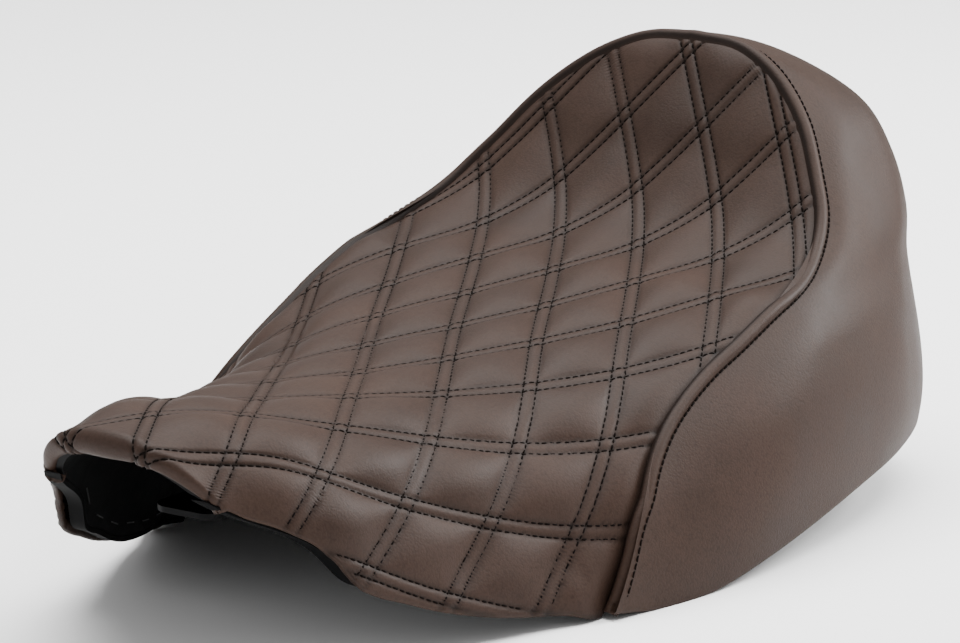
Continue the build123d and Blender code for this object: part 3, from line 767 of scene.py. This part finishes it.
def side_panel(name, side):
    """The smooth cover of one side and its half of the back; side is 1 at +X and -1 at -X."""
    rows = np.linspace(0, 1, SIDE_ROWS)
    points = side_surface(rows, side_columns())
    outward = grid_normals(points)
    swell = SIDE_SWELL * (1 - ease(0, SIDE_SWELL_SHARE, rows))
    points = points + outward * swell[:, None, None]
    from_middle = np.abs(points[..., 0])
    on_back = points[..., 1] > BACK_SEAM_Y
    crease_shade = np.exp(-(from_middle / BACK_SEAM_HALF) ** 2) * on_back
    dent = BACK_STITCH_DENT * np.exp(-(from_middle - BACK_STITCH_OUT) ** 2) * on_back
    points = points - outward * (crease_shade * BACK_SEAM_DEPTH + dent)[..., None]
    points[:, -1, 0] = 0
    points = np.concatenate([turned_under(points, outward), points])
    crease_shade = np.concatenate([np.zeros((len(points) - len(crease_shade), crease_shade.shape[1])), crease_shade])
    points = points * (side, 1, 1)
    piece = add_mesh(name, points.reshape(-1, 3), grid_faces(*points.shape[:2]))
    # painted shade along the back's seam
    set_crease_shade(piece, crease_shade * BACK_CREASE_SHADE)
    piece.data.materials.append(COVER_LEATHER)
    weld(piece, SIDE_WELD)
    return piece


def surface_tree(pieces):
    """A search tree over the side covers, for laying the welt and its stitches on them."""
    points, faces = [], []
    for piece in pieces:
        start = len(points)
        points += [vertex.co.copy() for vertex in piece.data.vertices]
        faces += [[start + index for index in face.vertices] for face in piece.data.polygons]
    return BVHTree.FromPolygons(points, faces)


def nearest(tree, points):
    """The nearest place on the side covers to each point."""
    return np.array([list(tree.find_nearest(Vector(point * MM))[0]) for point in points]) / MM


def running_mean(values, reach):
    """Values averaged over their neighbours, with the ends held."""
    padded = np.concatenate([np.repeat(values[:1], reach, 0), values, np.repeat(values[-1:], reach, 0)])
    total = np.cumsum(np.concatenate([np.zeros((1, values.shape[1])), padded]), axis=0)
    width = 2 * reach + 1
    return (total[width:] - total[:-width]) / width


def whole_seam(count):
    """Evenly spaced points on the seam, from the left foot over the top to the right foot."""
    left = SEAM_LINE[:-2:SEAM_POINT_STEP]
    right = (left * (-1, 1, 1))[::-1]
    return smooth_path(np.concatenate([left, [SEAM_LINE[-1]], right]), count)


def welt_frames(tree, count):
    """Points on the seam, with the directions over the side cover and out of it."""
    points = whole_seam(count)
    run = unit(np.gradient(points, axis=0))
    away = unit((points - SEAT_MIDDLE) * WELT_SPREAD) * WELT_SPREAD_WEIGHT + WELT_LEAN
    out = nearest(tree, points + unit(away) * WELT_PROBE) - points
    out = out - run * (out * run).sum(1, keepdims=True)
    out = unit(running_mean(unit(out), WELT_SMOOTHING))
    outward = np.cross(run, out)
    outward = outward * np.sign((outward * (points - SEAT_INSIDE)).sum(1, keepdims=True))
    return points, out, outward


def seam_welt_piece(tree):
    """The rolled seam allowance: a soft raised band on the side cover along the quilted panel's edge."""
    points, out, outward = welt_frames(tree, WELT_COUNT)
    shape = smooth_path(WELT_SHAPE, WELT_SHAPE_COUNT)
    over, up = shape[:, :1], shape[:, 1:]
    grid = points[:, None] + out[:, None] * over + outward[:, None] * up
    piece = add_mesh("welt", grid.reshape(-1, 3), grid_faces(*grid.shape[:2]))
    # painted shade in the welt's seam groove and beside its row of stitches
    crease_shade = sum(np.exp(-((shape[:, 0] - place) / half) ** 2) * dark for place, half, dark in WELT_CREASE_SHADES)
    set_crease_shade(piece, np.broadcast_to(np.clip(crease_shade, 0, DARKEST_CREASE_SHADE), grid.shape[:2]))
    piece.data.materials.append(COVER_LEATHER)
    weld(piece, WELT_WELD)
    return piece


def welt_stitches(tree):
    """The row of stitches on the side covers beside the welt."""
    points, out, outward = welt_frames(tree, WELT_STITCH_COUNT)
    path = running_mean(nearest(tree, points + out * WELT_STITCH_OUT), WELT_STITCH_SMOOTHING)
    kept = slice(WELT_STITCH_ENDS, -WELT_STITCH_ENDS)
    path = path[kept] + outward[kept] * WELT_STITCH_LIFT
    return stitch_tubes("welt_stitches", [(path, outward[kept])], THREAD)


def back_seam_stitches():
    """A row of stitches on each side of the seam down the middle of the back."""
    points = side_surface(np.linspace(*BACK_STITCH_SHARES, BACK_STITCH_COUNT), BACK_STITCH_COLUMNS)
    outward = grid_normals(points)
    line = np.array([[np.interp(-BACK_STITCH_OUT, -row[:, 0], row[:, axis]) for axis in range(3)]
                     for row in points])
    keep = line[:, 1] > BACK_SEAM_Y
    paths = [(line[keep] * (side, 1, 1), outward[keep, -1] * (side, 1, 1)) for side in (-1, 1)]
    return stitch_tubes("back_seam_stitches", paths, THREAD)


# ---------------------------------------------------------------- pieces on the frame


def join_to_seat(piece, slot, *nodes, fill=None):
    """Ride the seat body, and stand for the given CAD nodes, which are hidden; the share of filling is not
    used.
    """
    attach(piece, "seat")
    if nodes:
        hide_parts(*nodes)


panel = quilted_panel()
left_panel = side_panel("left_side_panel", 1)
right_panel = side_panel("right_side_panel", -1)
side_tree = surface_tree([left_panel, right_panel])
welt = seam_welt_piece(side_tree)
join_to_seat(panel, "cover_leather", "quilted_cover", "quilt_foam", "gel_pad", "seat_foam", fill=0.8)
join_to_seat(left_panel, "cover_leather", "left_side_cover", "bolster_foam", fill=0.9)
join_to_seat(right_panel, "cover_leather", "right_side_cover", fill=0.9)
join_to_seat(welt, "cover_leather", "seam_welt", fill=0.7)
for stitches in (quilt_stitches(), welt_stitches(side_tree), back_seam_stitches()):
    join_to_seat(stitches, "cover_leather")


CAD_FINISHES = {
    "pan_plastic": moulded("pan_plastic", (0.0016, 0.0016, 0.0017), 0.6, 1400, 0.00015),
    "trim_rubber": moulded("trim_rubber", (0.0016, 0.0016, 0.0017), 0.8, 900, 0.0001),
    "pad_foam": moulded("pad_foam", (0.016, 0.016, 0.017), 0.85, 700, 0.0004),
    "nylon": moulded("nylon", (0.55, 0.53, 0.48), 0.45, 1200, 0.00005),
    "bracket_steel": moulded("bracket_steel", (0.004, 0.004, 0.0042), 0.5, 500, 0.00006),
    "rivet_metal": metal("rivet_metal", (0.50, 0.50, 0.51), 0.34),
    "screw_steel": metal("screw_steel", (0.62, 0.62, 0.64), 0.24),
    "staple_wire": metal("staple_wire", (0.03, 0.03, 0.032), 0.5),
}
CAD_SLOTS = {
    "base_pan": "pan_plastic",
    "edge_trim": "trim_rubber",
    "front_tongue": "bracket_steel",
    "tongue_backing_plate": "bracket_steel",
    "tongue_rivets": "rivet_metal",
    "rear_bracket": "bracket_steel",
    "bracket_backing_plate": "bracket_steel",
    "bracket_rivets": "rivet_metal",
    "mount_screw": "screw_steel",
    "screw_retainer": "nylon",
    "frame_bumpers": "trim_rubber",
    "fender_pads": "pad_foam",
    "drain_grommets": "trim_rubber",
    "cover_staples": "staple_wire",
}
for node, finish in CAD_SLOTS.items():
    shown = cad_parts[node]
    shown.data.materials.clear()
    shown.data.materials.append(CAD_FINISHES[finish])

# ---------------------------------------------------------------- studio


def area_light(name, place, target, size, energy):
    data = bpy.data.lights.new(name, "AREA")
    data.shape = "RECTANGLE"
    data.size, data.size_y = size
    data.energy = energy
    lamp = bpy.data.objects.new(name, data)
    lamp.location = place
    lamp.rotation_euler = (Vector(target) - Vector(place)).to_track_quat("-Z", "Y").to_euler()
    bpy.context.scene.collection.objects.link(lamp)


def studio():
    """A plain pale floor under soft light."""
    bpy.ops.mesh.primitive_plane_add(size=FLOOR_SIZE, location=(0, 0, 0))
    floor = bpy.context.object
    floor.name = "floor"
    material, tree, shader = new_material("floor", FLOOR_COLOUR, FLOOR_ROUGHNESS)
    shader.inputs["Specular IOR Level"].default_value = FLOOR_SPECULAR
    floor.data.materials.append(material)
    world = bpy.data.worlds.new("studio")
    world.use_nodes = True
    background = world.node_tree.nodes["Background"]
    background.inputs["Color"].default_value = (1, 1, 1, 1)
    background.inputs["Strength"].default_value = WORLD_STRENGTH
    bpy.context.scene.world = world
    for light in LIGHTS:
        area_light(*light)


def camera():
    data = bpy.data.cameras.new("camera")
    data.sensor_width = CAMERA_SENSOR
    data.lens = CAMERA_LENS
    data.clip_end = CAMERA_REACH
    made = bpy.data.objects.new("camera", data)
    made.location = CAMERA_PLACE
    made.rotation_euler = (radians(90 - CAMERA_ELEVATION), 0, radians(CAMERA_AZIMUTH))
    bpy.context.scene.collection.objects.link(made)
    bpy.context.scene.camera = made


studio()
camera()
